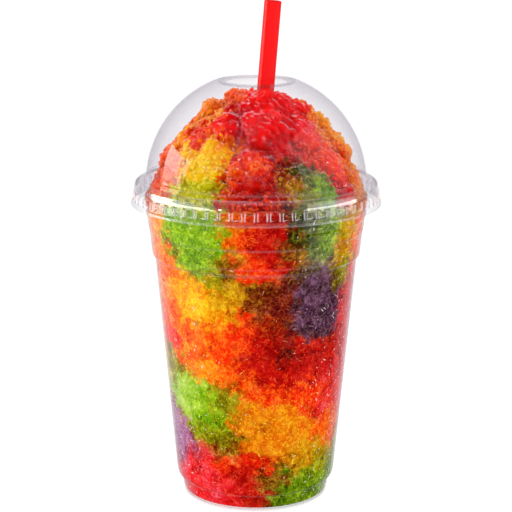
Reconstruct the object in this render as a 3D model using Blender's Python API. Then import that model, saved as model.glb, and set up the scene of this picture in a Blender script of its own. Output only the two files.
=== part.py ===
"""A cup of slushie: a clear cup, its clear dome lid with a straw hole, the mound of coloured ice and a straw.

The frame is in metres with +Z up. The origin is the centre of the cup's foot, on the surface it stands on,
and the shown side faces -Y. Profiles are written in millimetres as (radius, height) and turned about Z.
"""

import math
import random

import bmesh
import bpy
from mathutils import Matrix, Vector

MM = 0.001
TURN_STEPS = 44  # facets round the cup and the lid
GAP = 0.3  # clearance that neighbouring pieces keep

# The cup: outside radii and heights, then the sheet it is formed from.
FOOT_RING_INSIDE = 27.0
FOOT_RADIUS = 30.3
FOOT_TOP_RADIUS = 31.5
FOOT_HEIGHT = 7.3
WALL_BOTTOM_RADIUS = 33.4
WALL_BOTTOM_HEIGHT = 9.4
WALL_TOP_RADIUS = 42.3
SHOULDER_HEIGHT = 103.2
BAND_HEIGHTS = (114.4, 119.9)  # the two stacking rings above the shoulder
RECESS_DEPTH = 3.0
CUP_SHEET = 0.7
RIM_RADIUS = 47.3  # centre of the curled rim
RIM_HEIGHT = 131.5
RIM_CURL = 1.5  # outside radius of the curl

# The lid: a cap of a sphere on a bead that covers the rim, with a flared and ribbed skirt.
DOME_CENTRE = 133.4
DOME_RADIUS = 46.05
HOLE_RADIUS = 12.9
HOLE_RING_RADIUS = 16.0
HOLE_HEIGHT = 175.6
DOME_FOOT_HEIGHT = 137.2
BEAD_RADIUS = 48.6
BEAD_HEIGHT = 132.0
BEAD_SIZE = 2.4
SKIRT_TOP_RADIUS = 51.15
SKIRT_BOTTOM_RADIUS = 52.1
SKIRT_BOTTOM = 125.3
LID_SHEET = 0.6
RIB_COUNT = 64
RIB_TOP = 130.9
RIB_BOTTOM = 127.2

# The ice: it fills the cup and stands up under the dome as a heap of soft clumps.
ICE_STEPS = 90
MOUND_ROWS = 26
MOUND_RADIUS = 34.6  # from the dome's centre to the hollows between clumps, at the top
MOUND_SPREAD = 98.0  # degrees from the top down to where the ice meets the cup
MOUTH_DROP = 4.1  # from the curled rim down to where the ice meets the cup
FOOT_FLARE = 5.0  # how much wider the mound is at its foot
FLARE_FROM = 30.0  # degrees above the dome's centre where it starts to widen
GRAIN_COUNT = 700
GRAIN_SIZE = 2.5
GRAIN_RISE = 0.8

# The straw: a plain tube that stands on the cup's floor and leans to the right.
STRAW_RADIUS = 3.55
STRAW_BORE = 2.95
STRAW_FOOT = Vector((-9.5, 0.5, 4.6))
STRAW_TIP = Vector((6.6, 0.5, 208.4))
STRAW_STEPS = 20

# Clumps on the shown side: degrees to the right of the front, degrees above the dome's centre,
# half width in degrees, and how far each stands out in millimetres.
SHOWN_CLUMPS = (
    (-90, 77, 9, 4.8),
    (-98, 58, 10, 3.9),
    (-84, 34, 9, 3.0),
    (-94, 19, 15, 3.6),
    (25, 74, 22, 3.6),
    (85, 60, 15, 3.6),
    (12, 50, 22, 3.6),
    (-36, 48, 13, 3.0),
    (-56, 32, 13, 2.6),
    (-33, 22, 20, 3.4),
    (-3, 17, 19, 4.4),
    (22, 30, 9, 1.6),
    (46, 42, 15, 3.6),
    (100, 41, 9, 4.8),
    (94, 24, 15, 5.0),
    (90, 4, 19, 2.8),
    (60, 18, 15, 3.0),
    (34, 8, 17, 3.0),
    (-64, 2, 18, 2.2),
)
BACK_CLUMPS = 15
SEED = 41

CLEAR = (0.93, 0.94, 0.96, 1.0)
ICE_RED = (0.86, 0.10, 0.04, 1.0)
STRAW_RED = (0.85, 0.01, 0.01, 1.0)


def clear_scene():
    for obj in list(bpy.data.objects):
        bpy.data.objects.remove(obj, do_unlink=True)


def material(name, colour, roughness):
    made = bpy.data.materials.new(name)
    made.use_nodes = True
    shader = made.node_tree.nodes["Principled BSDF"]
    shader.inputs["Base Color"].default_value = colour
    shader.inputs["Roughness"].default_value = roughness
    shader.inputs["Metallic"].default_value = 0.0
    return made


def arc(centre, radius, start, end, steps):
    """Points on a circle in a profile, from one angle to another in degrees."""
    angles = [math.radians(start + (end - start) * i / steps) for i in range(steps + 1)]
    return [(centre[0] + radius * math.cos(a), centre[1] + radius * math.sin(a)) for a in angles]


def spun(profile, steps, ring=True):
    """A bmesh of the profile, in millimetres, turned about Z. A ring's last point joins its first."""
    mesh = bmesh.new()
    points = [mesh.verts.new((radius * MM, 0, height * MM)) for radius, height in profile]
    ends = points[1:] + points[:1] if ring else points[1:]
    edges = [mesh.edges.new(pair) for pair in zip(points, ends)]
    bmesh.ops.spin(
        mesh, geom=points + edges, axis=(0, 0, 1), cent=(0, 0, 0), angle=2 * math.pi, steps=steps, use_merge=True
    )
    bmesh.ops.remove_doubles(mesh, verts=mesh.verts, dist=0.0001 * MM)
    bmesh.ops.recalc_face_normals(mesh, faces=mesh.faces)
    return mesh


def placed(mesh, name, finish):
    """Turns a bmesh into an object of its own, with smooth shading up to a crease."""
    data = bpy.data.meshes.new(name)
    mesh.to_mesh(data)
    mesh.free()
    data.shade_smooth()
    data.set_sharp_from_angle(angle=math.radians(35))
    data.materials.append(finish)
    obj = bpy.data.objects.new(name, data)
    bpy.context.scene.collection.objects.link(obj)
    return obj


def cup_inside():
    """The cup's inner face from the middle of its floor up to the curled rim."""
    sheet = CUP_SHEET
    floor = RECESS_DEPTH + sheet
    return [
        (0, floor),
        (FOOT_RADIUS - 2.4, floor - 0.2),
        (FOOT_RADIUS - sheet, floor + 0.8),
        (FOOT_TOP_RADIUS - sheet, FOOT_HEIGHT),
        (WALL_BOTTOM_RADIUS - sheet, WALL_BOTTOM_HEIGHT + 0.3),
        (WALL_TOP_RADIUS - sheet, SHOULDER_HEIGHT + 0.6),
        (WALL_TOP_RADIUS + 1.35 - sheet, SHOULDER_HEIGHT + 3.6),
        (RIM_RADIUS - RIM_CURL, RIM_HEIGHT - 4.0),
    ] + arc((RIM_RADIUS, RIM_HEIGHT), RIM_CURL, 180, -60, 5)


def cup_outside():
    """The cup's outer face from the curl down to the middle of the recess under its foot."""
    band_low, band_high = BAND_HEIGHTS
    curl = arc((RIM_RADIUS, RIM_HEIGHT), RIM_CURL - CUP_SHEET, -60, 180, 3)
    wall_top = RIM_RADIUS - RIM_CURL + CUP_SHEET
    return curl + [
        (wall_top, RIM_HEIGHT - 3.0),
        (wall_top - 0.75, band_high + 0.3),
        (wall_top - 1.1, band_high - 0.3),
        (wall_top - 1.65, band_low + 0.3),
        (wall_top - 2.0, band_low - 0.3),
        (WALL_TOP_RADIUS + 1.35, SHOULDER_HEIGHT + 3.2),
        (WALL_TOP_RADIUS + 0.85, SHOULDER_HEIGHT + 0.9),
        (WALL_TOP_RADIUS, SHOULDER_HEIGHT),
        (WALL_BOTTOM_RADIUS, WALL_BOTTOM_HEIGHT),
        (WALL_BOTTOM_RADIUS - 0.6, FOOT_HEIGHT + 0.4),
        (FOOT_TOP_RADIUS, FOOT_HEIGHT - 0.2),
        (FOOT_RADIUS + 0.6, 0.8),
        (FOOT_RADIUS, 0),
        (FOOT_RING_INSIDE, 0),
        (FOOT_RING_INSIDE - 1.2, RECESS_DEPTH - 0.4),
        (0, RECESS_DEPTH),
    ]


def make_cup(finish):
    """The clear cup: a tapered wall with a stepped foot, a shoulder, two stacking rings and a curled rim."""
    return placed(spun(cup_inside() + cup_outside(), TURN_STEPS, ring=False), "cup", finish)


def lid_profile():
    """The lid's outer face from the hole down to the skirt's edge, then its inner face back up."""
    start = 90 - math.degrees(math.asin(HOLE_RING_RADIUS / DOME_RADIUS))
    end = math.degrees(math.asin((DOME_FOOT_HEIGHT - DOME_CENTRE) / DOME_RADIUS))
    sheet = LID_SHEET
    bead = (BEAD_RADIUS, BEAD_HEIGHT)
    outside = [(HOLE_RADIUS, HOLE_HEIGHT), (HOLE_RING_RADIUS - 0.4, HOLE_HEIGHT - 0.2)]
    outside += arc((0, DOME_CENTRE), DOME_RADIUS, start, end, 7)
    outside += [(DOME_RADIUS + 0.45, DOME_FOOT_HEIGHT - 0.4), (DOME_RADIUS + 0.45, BEAD_HEIGHT + 1.6)]
    outside += arc(bead, BEAD_SIZE, 105, 10, 3)
    outside += [
        (SKIRT_TOP_RADIUS, RIB_TOP),
        (SKIRT_TOP_RADIUS + 0.15, RIB_BOTTOM + 0.6),
        (SKIRT_BOTTOM_RADIUS - 0.15, SKIRT_BOTTOM + 0.9),
        (SKIRT_BOTTOM_RADIUS, SKIRT_BOTTOM),
    ]
    inside = [
        (SKIRT_BOTTOM_RADIUS - sheet, SKIRT_BOTTOM),
        (SKIRT_TOP_RADIUS - sheet + 0.15, RIB_BOTTOM + 0.6),
        (SKIRT_TOP_RADIUS - sheet, RIB_TOP),
    ]
    inside += arc(bead, BEAD_SIZE - sheet, 10, 105, 3)
    inside += [(DOME_RADIUS - 0.15, BEAD_HEIGHT + 1.45), (DOME_RADIUS - 0.15, DOME_FOOT_HEIGHT - 0.8)]
    inside += arc((0, DOME_CENTRE), DOME_RADIUS - sheet, end, start, 6)[:-1]
    inside += [(HOLE_RING_RADIUS, HOLE_HEIGHT - sheet - 0.2), (HOLE_RADIUS, HOLE_HEIGHT - sheet)]
    return outside + inside


def rib(number, group):
    """One upright rib on the skirt: wide at its top, running out into the flare below."""
    sunk, proud = SKIRT_TOP_RADIUS - 0.15, SKIRT_TOP_RADIUS + 0.6
    corners = []
    for height, half, crest in ((RIB_TOP - 0.2, 1.15, proud), (RIB_BOTTOM, 0.5, proud - 0.15)):
        for side in (-1, 1):
            corners += [(sunk, side * half, height), (crest, side * half * 0.7, height)]
    mesh = bmesh.new()
    turn = Matrix.Rotation(2 * math.pi * number / RIB_COUNT, 3, "Z")
    points = [mesh.verts.new(turn @ Vector(corner) * MM) for corner in corners]
    bmesh.ops.convex_hull(mesh, input=points)
    bmesh.ops.recalc_face_normals(mesh, faces=mesh.faces)
    data = bpy.data.meshes.new("rib")
    mesh.to_mesh(data)
    mesh.free()
    group.objects.link(bpy.data.objects.new("rib", data))


def make_lid(finish):
    """The clear dome lid, with its ribs joined on by one Boolean union."""
    lid = placed(spun(lid_profile(), TURN_STEPS), "dome_lid", finish)
    ribs = bpy.data.collections.new("ribs")
    bpy.context.scene.collection.children.link(ribs)
    for number in range(RIB_COUNT):
        rib(number, ribs)
    union = lid.modifiers.new("ribs", "BOOLEAN")
    union.operation = "UNION"
    union.operand_type = "COLLECTION"
    union.collection = ribs
    union.solver = "EXACT"
    bpy.context.view_layer.objects.active = lid
    bpy.ops.object.modifier_apply(modifier=union.name)
    for obj in list(ribs.objects):
        bpy.data.objects.remove(obj, do_unlink=True)
    bpy.data.collections.remove(ribs)
    return lid


def direction(side, rise):
    """A unit vector, side degrees round from the front towards +X and rise degrees up."""
    side, rise = math.radians(side), math.radians(rise)
    return Vector((math.sin(side) * math.cos(rise), -math.cos(side) * math.cos(rise), math.sin(rise)))


def all_clumps(draw):
    """The shown clumps and the seeded ones behind, as (direction, half width in radians, rise)."""
    found = [(direction(side, rise), math.radians(width), out) for side, rise, width, out in SHOWN_CLUMPS]
    for number in range(BACK_CLUMPS):
        side = 180 + (number % 5 - 2) * 31 + draw.uniform(-6, 6)
        rise = 8 + 24 * (number // 5) + draw.uniform(-6, 6)
        width = math.radians(draw.uniform(15, 20))
        found.append((direction(side, rise), width, draw.uniform(2.0, 3.4)))
    return found


def grain_directions(draw):
    """Seeded points spread evenly over the mound, one for each coarse grain of ice."""
    turn = math.pi * (3 - math.sqrt(5))
    found = []
    for number in range(GRAIN_COUNT):
        height = 1 - 1.12 * (number + 0.5) / GRAIN_COUNT + draw.uniform(-0.01, 0.01)
        height = min(height, 1)
        angle = number * turn + draw.uniform(-0.05, 0.05)
        flat = math.sqrt(1 - height * height)
        found.append(Vector((flat * math.cos(angle), flat * math.sin(angle), height)))
    return found


def relief(toward, clumps, grains):
    """How far the ice stands out from the mound's hollows in this direction, in millimetres."""
    out = 0.0
    for centre, width, rise in clumps:
        share = toward.angle(centre) / width
        if share < 1:
            out = max(out, rise * math.sqrt(1 - share * share))
    near = max(toward.dot(grain) for grain in grains)
    apart = math.acos(min(1, near)) * MOUND_RADIUS / GRAIN_SIZE
    return out + GRAIN_RISE * math.sqrt(max(0, 1 - apart * apart))


def ice_profile():
    """The ice from the top of the mound down to the cup's mouth, then down its wall to its floor."""
    mound = [(0, DOME_CENTRE + MOUND_RADIUS)]
    for row in range(1, MOUND_ROWS + 1):
        rise = 90 - MOUND_SPREAD * row / MOUND_ROWS
        share = min(1, max(0, 1 - rise / FLARE_FROM))
        radius = MOUND_RADIUS + FOOT_FLARE * share * share * (3 - 2 * share)
        mound += arc((0, DOME_CENTRE), radius, rise, rise, 1)[:1]
    inside = cup_inside()[:8]
    inside[-1] = (inside[-1][0] - 0.1, RIM_HEIGHT - MOUTH_DROP)
    packed = [(max(0, radius - GAP), height + GAP) for radius, height in reversed(inside)]
    return mound + packed


def make_ice(finish):
    """The ice, cut round the straw. Only the mound's points move out, away from the dome's centre."""
    draw = random.Random(SEED)
    clumps = all_clumps(draw)
    grains = grain_directions(draw)
    mesh = spun(ice_profile(), ICE_STEPS, ring=False)
    centre = Vector((0, 0, DOME_CENTRE)) * MM
    lowest = (RIM_HEIGHT - MOUTH_DROP + 2 * GAP) * MM
    for point in mesh.verts:
        if point.co.z < lowest:
            continue
        toward = (point.co - centre).normalized()
        point.co += toward * relief(toward, clumps, grains) * MM
    return placed(mesh, "slush", finish)


def along_straw(obj):
    """Stands an object that was made on Z at the straw's foot, along the straw."""
    obj.location = STRAW_FOOT * MM
    obj.rotation_mode = "QUATERNION"
    obj.rotation_quaternion = (STRAW_TIP - STRAW_FOOT).to_track_quat("Z", "Y")
    return obj


def make_straw(finish):
    """The straw: a tube open at both ends."""
    length = (STRAW_TIP - STRAW_FOOT).length
    section = [(STRAW_RADIUS, length), (STRAW_RADIUS, 0), (STRAW_BORE, 0), (STRAW_BORE, length)]
    return along_straw(placed(spun(section, STRAW_STEPS), "straw", finish))


def cut_straw_channel(ice, finish):
    """Takes the straw and a clearance round it out of the ice."""
    length = (STRAW_TIP - STRAW_FOOT).length
    wide = STRAW_RADIUS + GAP
    rod = [(0, length), (wide, length), (wide, -10), (0, -10)]
    cutter = along_straw(placed(spun(rod, STRAW_STEPS, ring=False), "straw_channel", finish))
    cutter.hide_render = True
    cutter.display_type = "WIRE"
    cut = ice.modifiers.new("straw_channel", "BOOLEAN")
    cut.operation = "DIFFERENCE"
    cut.solver = "EXACT"
    cut.object = cutter


def main():
    clear_scene()
    clear = material("clear_plastic", CLEAR, 0.08)
    red = material("straw_plastic", STRAW_RED, 0.25)
    make_cup(clear)
    make_lid(clear)
    ice = make_ice(material("coloured_ice", ICE_RED, 0.3))
    make_straw(red)
    cut_straw_channel(ice, red)


main()
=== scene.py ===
# %% [markdown]
# # A cup of slushie
#
# A clear cup full of crushed ice in many colours of syrup, with a dome lid over the mound and a straw through
# the lid's hole. Four things make it look real: thin clear plastic with sharp reflections, ice that is rough at
# three sizes at once, colours that run into each other, and light that gets into all of it.
# The sizes are the real ones in millimetres, and `MM` turns them into Blender's metres.

# %% The frame that every piece is built around
import math
import random

import bpy
import numpy as np
from mathutils import Matrix, Vector, noise


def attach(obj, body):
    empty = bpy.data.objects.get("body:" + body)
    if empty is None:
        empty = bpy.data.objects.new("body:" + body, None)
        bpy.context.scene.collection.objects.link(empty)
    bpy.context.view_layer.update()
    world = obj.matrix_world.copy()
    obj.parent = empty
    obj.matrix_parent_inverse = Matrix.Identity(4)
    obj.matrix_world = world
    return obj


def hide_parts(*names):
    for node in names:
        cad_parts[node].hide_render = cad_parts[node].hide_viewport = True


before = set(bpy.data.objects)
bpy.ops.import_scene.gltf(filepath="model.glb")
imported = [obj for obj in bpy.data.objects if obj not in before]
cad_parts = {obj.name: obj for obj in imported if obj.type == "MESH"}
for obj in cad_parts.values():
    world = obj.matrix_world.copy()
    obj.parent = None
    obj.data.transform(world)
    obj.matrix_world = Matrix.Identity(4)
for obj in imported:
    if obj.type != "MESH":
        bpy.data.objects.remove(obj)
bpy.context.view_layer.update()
MM = 0.001
print("the frame holds", sorted(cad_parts))

# %% [markdown]
# ## Drawing a turned shape
#
# The cup, the lid, the straw and the ice are all turned shapes. A Screw modifier on a curve would do, but
# extruding one vertex along the profile and spinning it leaves the number of rows and columns in our hands,
# which matters when those rows are pushed in and out afterwards. A corner of a profile has a third number, the
# length that its rounding takes off each side. The rounding is a quadratic curve through the two cut points.

# %% Profiles
def rounded(corners, steps=3, most=0.45):
    """Turns (radius, height, rounding) corners into points. No rounding takes more than most of a side."""
    points = []
    for number, (radius, height, cut) in enumerate(corners):
        here = Vector((radius, height))
        if cut == 0 or number in (0, len(corners) - 1):
            points.append((radius, height))
            continue
        before = Vector(corners[number - 1][:2]) - here
        after = Vector(corners[number + 1][:2]) - here
        start = here + before.normalized() * min(cut, before.length * most)
        end = here + after.normalized() * min(cut, after.length * most)
        for step in range(steps + 1):
            share = step / steps
            point = start.lerp(here, share).lerp(here.lerp(end, share), share)
            points.append((point.x, point.y))
    return points


def arc(centre, radius, start, end, steps):
    """Points on a circle in the profile, from one angle in degrees to another."""
    angles = [math.radians(start + (end - start) * step / steps) for step in range(steps + 1)]
    return [(centre[0] + radius * math.cos(a), centre[1] + radius * math.sin(a)) for a in angles]


def spaced(points, gap):
    """The same profile with more points, so that no stretch is longer than the gap."""
    found = [points[0]]
    for (r0, z0), (r1, z1) in zip(points, points[1:]):
        count = max(1, math.ceil(math.hypot(r1 - r0, z1 - z0) / gap))
        for step in range(1, count + 1):
            found.append((r0 + (r1 - r0) * step / count, z0 + (z1 - z0) * step / count))
    return found


# %% The lathe, and small helpers that every piece uses
def select_nothing():
    bpy.ops.object.select_all(action="DESELECT")


def only(obj):
    """Makes obj the one object that is selected and active."""
    select_nothing()
    obj.select_set(True)
    bpy.context.view_layer.objects.active = obj


def turned(name, profile, columns, same=0.002):
    """Extrudes one vertex along a profile in millimetres, and spins it. Points closer than same merge."""
    select_nothing()
    radius, height = profile[0]
    bpy.ops.mesh.primitive_plane_add(size=MM, location=(radius * MM, 0, height * MM))
    obj = bpy.context.object
    obj.name = obj.data.name = name
    bpy.ops.object.transform_apply(location=True)
    bpy.ops.object.mode_set(mode="EDIT")
    bpy.ops.mesh.merge(type="CENTER")
    for (r0, z0), (r1, z1) in zip(profile, profile[1:]):
        step = ((r1 - r0) * MM, 0, (z1 - z0) * MM)
        bpy.ops.mesh.extrude_region_move(TRANSFORM_OT_translate={"value": step})
    bpy.ops.mesh.select_all(action="SELECT")
    bpy.ops.mesh.spin(steps=columns, angle=2 * math.pi, center=(0, 0, 0), axis=(0, 0, 1))
    bpy.ops.mesh.select_all(action="SELECT")
    bpy.ops.mesh.remove_doubles(threshold=same * MM)
    bpy.ops.mesh.normals_make_consistent(inside=False)
    bpy.ops.object.mode_set(mode="OBJECT")
    return obj


def facing_out(obj, height):
    """Turns an open shell round if its face at this height, in millimetres, points at the axis."""
    face = min(obj.data.polygons, key=lambda one: abs(one.center.z / MM - height))
    if face.normal.xy.dot(face.center.xy) < 0:
        only(obj)
        bpy.ops.object.mode_set(mode="EDIT")
        bpy.ops.mesh.select_all(action="SELECT")
        bpy.ops.mesh.flip_normals()
        bpy.ops.object.mode_set(mode="OBJECT")


def applied(obj, kind, **settings):
    """Adds a modifier with these settings and applies it."""
    only(obj)
    modifier = obj.modifiers.new(kind.lower(), kind)
    for key, value in settings.items():
        setattr(modifier, key, value)
    bpy.ops.object.modifier_apply(modifier=modifier.name)


def smooth(obj, degrees=40):
    """Shades the piece smooth up to creases sharper than this."""
    only(obj)
    bpy.ops.object.shade_smooth_by_angle(angle=math.radians(degrees))
    triangles = sum(len(face.vertices) - 2 for face in obj.data.polygons)
    print(obj.name, triangles, "triangles")


def array_of(items, kind, wide=3):
    """One property of many vertices or faces, as an array with so many numbers in a row."""
    flat = np.empty(len(items) * wide)
    items.foreach_get(kind, flat)
    return flat.reshape(-1, wide)


def points_of(obj):
    """The places of the piece's vertices, in millimetres."""
    return array_of(obj.data.vertices, "co") / MM


def move_points(obj, points):
    """Puts the piece's vertices at these points, in millimetres."""
    obj.data.vertices.foreach_set("co", (points * MM).ravel())
    obj.data.update()


# %% [markdown]
# ## The clear cup
#
# Such a cup is formed from one sheet, so its inside and outside run side by side. Drawing only the outer face
# and giving it thickness with Solidify keeps that true at every step and curl. The rim is rolled outwards: the
# wall's outer face becomes the inside of the roll, so that arc is smaller than the roll looks from outside.

# %% The cup's outer face, spun and thickened
SHEET = 0.5
CUP_COLUMNS = 160
RECESS = 3.0
RIM = (47.3, 131.5)
RIM_CURL = 1.5
WALL = [
    (30.3, 0, 0.9), (31.5, 7.0, 0.5), (32.75, 7.6, 0.5), (33.45, 9.4, 1.2),
    (42.3, 103.2, 0.35), (43.4, 103.8, 0.7), (43.7, 106.2, 1.4), (44.5, 114.0, 0.2),
    (44.85, 114.6, 0.2), (45.35, 119.6, 0.2), (45.7, 120.2, 0.2), (46.4, 127.5, 1.5),
]
foot = [(0, RECESS, 0), (25.6, RECESS, 0.6), (27.0, 0, 0.5)]
outer = rounded(foot + WALL + [(RIM[0] - RIM_CURL + SHEET, RIM[1], 0)])
outer += arc(RIM, RIM_CURL - SHEET, 170, -60, 8)
cup = turned("clear_cup", outer, CUP_COLUMNS)
facing_out(cup, 60)
applied(cup, "SOLIDIFY", thickness=SHEET * MM, offset=-1, use_even_offset=True)
smooth(cup)

# %% [markdown]
# ## The dome lid
#
# The lid is a ball's cap on a bead that grips the cup's rim, with a skirt below. The skirt has small pressed
# ribs for the fingers. A rib could be a separate bump, but on the real lid the sheet itself is pressed out, so
# the skirt's own vertices move out before the sheet gets its thickness. The columns are first gathered round
# each rib, eight to a rib, because a rib is much narrower than the space to the next one. The rib's flanks are
# noted in an attribute, so that the material can make them whiter.

# %% The lid's profile, from the hole down to the skirt's edge
DOME_CENTRE = 133.4
DOME_RADIUS = 46.05
HOLE = 12.9
HOLE_RING = 16.0
DOME_FOOT = 137.4
BEAD = [(48.3, 134.8, 0.5), (50.5, 134.5, 0.9), (50.75, 131.5, 0.2)]
SKIRT = 50.7
DRAFT = 0.1
RIB_COUNT = 64
RIB_ROWS = (131.1, 130.7, 130.0, 129.2, 128.4, 127.7, 127.3)
RIB_COLUMNS = (-1.1, -0.9, -0.66, -0.25, 0.25, 0.66, 0.9, 1.1)
RIB_CREST = (0.0, 0.5, 0.88, 1.0, 1.0, 0.88, 0.5, 0.0)
RIB_FLANK = (0.0, 0.8, 0.8, 0.0, 0.0, 0.8, 0.8, 0.0)
ring_angle = 90 - math.degrees(math.asin(HOLE_RING / DOME_RADIUS))
foot_angle = math.degrees(math.asin((DOME_FOOT - DOME_CENTRE) / DOME_RADIUS))
cap = arc((0, DOME_CENTRE), DOME_RADIUS, ring_angle, foot_angle, 26)
ring = rounded([(HOLE, 175.2, 0), (HOLE + 0.1, 175.65, 0.3), (HOLE_RING - 0.7, 175.45, 0.5), (*cap[0], 0)])
ribbed = [(SKIRT + DRAFT * (RIB_ROWS[0] - height), height) for height in RIB_ROWS]
neck = rounded([(*cap[-1], 0), (46.45, 136.9, 0.3), (46.6, 134.9, 0.4), *BEAD, (*ribbed[0], 0)])
flare = rounded([(*ribbed[-1], 0), (51.2, 126.9, 0.3), (51.95, 126.3, 0.3), (52.08, 125.3, 0)])
lid_profile = ring[:-1] + cap + neck[1:-1] + ribbed + flare[1:]
lid = turned("clear_lid", lid_profile, RIB_COUNT * len(RIB_COLUMNS))
facing_out(lid, 150)
print(len(lid_profile), "rows in the lid")

# %% The ribs, pressed out of the skirt
RIB_DEPTH = 0.75
RIB_TAPER = 0.22
RIB_FADE = 0.35
spots = points_of(lid)
radius = np.hypot(spots[:, 0], spots[:, 1])
pitch = 2 * math.pi / RIB_COUNT
column = np.round(np.arctan2(spots[:, 1], spots[:, 0]) / pitch * len(RIB_COLUMNS)).astype(int)
rib, column = column // len(RIB_COLUMNS), column % len(RIB_COLUMNS)
down = np.clip((RIB_ROWS[0] - spots[:, 2]) / (RIB_ROWS[0] - RIB_ROWS[-1]), 0, 1)
on_rib = (spots[:, 2] < RIB_ROWS[0] - 0.1) & (spots[:, 2] > RIB_ROWS[-1] + 0.1)
crest = np.array(RIB_CREST)[column] * (1 - RIB_FADE * down)
aside = np.array(RIB_COLUMNS)[column] * np.where(on_rib, 1 - RIB_TAPER * down, 1)
angle = rib * pitch + aside / SKIRT
radius = radius + RIB_DEPTH * crest * on_rib
move_points(lid, np.stack([radius * np.cos(angle), radius * np.sin(angle), spots[:, 2]], 1))
flank = np.array(RIB_FLANK)[column] * on_rib
lid.data.attributes.new("flank", "FLOAT", "POINT").data.foreach_set("value", flank)
applied(lid, "SOLIDIFY", thickness=SHEET * MM, offset=-1, use_even_offset=True)
smooth(lid)

# %% [markdown]
# ## The straw
#
# A plain tube that stands on the cup's floor and leans to the right. It is turned upright as a closed ring
# profile with its rims rounded, and then laid along the line between its two ends.

# %% The straw
STRAW_RADIUS = 3.55
STRAW_BORE = 3.2
STRAW_COLUMNS = 64
STRAW_RIM = 0.15
STRAW_FOOT = Vector((-9.5, 0.5, 4.6))
STRAW_TIP = Vector((6.6, 0.5, 208.4))
length = (STRAW_TIP - STRAW_FOOT).length
halfway = (STRAW_RADIUS, length / 2, 0)
rims = [(STRAW_RADIUS, length), (STRAW_BORE, length), (STRAW_BORE, 0), (STRAW_RADIUS, 0)]
tube = rounded([halfway] + [(*rim, STRAW_RIM) for rim in rims] + [halfway])


def lay_along_straw(obj):
    """Moves an upright piece onto the straw's line, with its place in its mesh."""
    only(obj)
    obj.location = STRAW_FOOT * MM
    obj.rotation_euler = (STRAW_TIP - STRAW_FOOT).to_track_quat("Z", "Y").to_euler()
    bpy.ops.object.transform_apply(location=True, rotation=True)
    return obj


straw = lay_along_straw(turned("red_straw", tube, STRAW_COLUMNS))
smooth(straw)

# %% [markdown]
# ## The ice, first as a smooth heap
#
# The ice fills the cup and stands up under the dome. It is two turned shapes, because the mound wants finer
# rows than the ice in the cup. The filling reaches halfway into the cup's sheet, so that no air shows behind
# the plastic, and its edge is drawn in at the mouth. The mound is a ball that widens towards its foot and that
# the clumps push out, and it stands a little way down in the filling. Each clump is a cap of its own width and
# height in one direction from the dome's centre. The ones that show are listed one by one, and the ones behind
# are drawn from a seeded random generator.

# %% The clumps of the mound
MOUND_RADIUS = 34.6
MOUND_FOOT = -5.0
FOOT_FLARE = 5.0
FLARE_FROM = 30.0
MOUTH = 128.6
# Each clump is (degrees round from the front, degrees up, half its width in degrees, height).
SHOWN_CLUMPS = (
    (-90, 77, 9, 4.8), (-98, 58, 10, 3.9), (-84, 34, 9, 3.0), (-94, 19, 15, 3.6), (30, 76, 20, 5.0),
    (85, 60, 15, 3.6), (12, 52, 20, 3.6), (-36, 48, 13, 3.0), (-56, 32, 13, 2.6), (-35, 22, 18, 3.4),
    (-3, 17, 16, 4.6), (22, 30, 9, 1.6), (46, 42, 15, 3.6), (100, 41, 9, 4.8), (94, 24, 15, 5.0),
    (90, 4, 19, 2.8), (60, 18, 15, 3.0), (34, 8, 17, 3.0), (-64, 2, 18, 2.2),
)
BACK_CLUMPS = 15
draw = random.Random(41)


def direction(side, rise):
    """A unit vector, side degrees round from the front towards +X and rise degrees up."""
    side, rise = math.radians(side), math.radians(rise)
    return Vector((math.sin(side) * math.cos(rise), -math.cos(side) * math.cos(rise), math.sin(rise)))


clumps = list(SHOWN_CLUMPS)
for number in range(BACK_CLUMPS):
    side = 180 + (number % 5 - 2) * 31 + draw.uniform(-6, 6)
    rise = 8 + 24 * (number // 5) + draw.uniform(-6, 6)
    clumps.append((side, rise, draw.uniform(15, 20), draw.uniform(2.0, 3.4)))
print(len(clumps), "clumps")

# %% The mound and the filling, both smooth
MOUND_COLUMNS = 500
MOUND_ROWS = 150
FILL_COLUMNS = 376
FILL_GAP = 0.62
FLAT_GAP = 6.0
REACH = 0.25
CLEAR_FOOT = 1.2
MOUTH_EDGE = 44.4
TUCK = 1.4
dome_rows = []
for row in range(MOUND_ROWS):
    rise = 90 + (MOUND_FOOT - 90) * row / (MOUND_ROWS - 1)
    share = min(1, max(0, 1 - rise / FLARE_FROM))
    radius = MOUND_RADIUS + FOOT_FLARE * share * share * (3 - 2 * share)
    rise = math.radians(rise)
    dome_rows.append((radius * math.cos(rise), DOME_CENTRE + radius * math.sin(rise)))
dome_rows[0] = (0, dome_rows[0][1])
ledge = spaced([dome_rows[-1], (MOUTH_EDGE, MOUTH + 0.1)], 0.6)
tucked = spaced([ledge[-1], (MOUTH_EDGE - 1, MOUTH - TUCK), (0, MOUTH - TUCK)], FLAT_GAP)
mound = turned("ice_mound", dome_rows + ledge[1:] + tucked[1:], MOUND_COLUMNS)

wall = [(r - REACH, max(z, CLEAR_FOOT), cut) for r, z, cut in reversed(WALL[:-1])]
wall = [(MOUTH_EDGE + 0.1, MOUTH, 0), (45.8, MOUTH - 2.4, 1)] + wall
under = [(27.2, CLEAR_FOOT, 0.5), (25.3, RECESS + REACH, 0.5)]
wall = spaced(rounded(wall + under), FILL_GAP)
top_rows = spaced([(0, MOUTH - 0.9), (MOUTH_EDGE - 1, MOUTH - 0.6), wall[0]], FLAT_GAP)
floor_rows = spaced([wall[-1], (0, RECESS + REACH)], FLAT_GAP)
filling = turned("ice_filling", top_rows + wall[1:] + floor_rows[1:], FILL_COLUMNS)
print(len(dome_rows), "rows of mound,", len(wall), "rows of filling")

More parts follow.
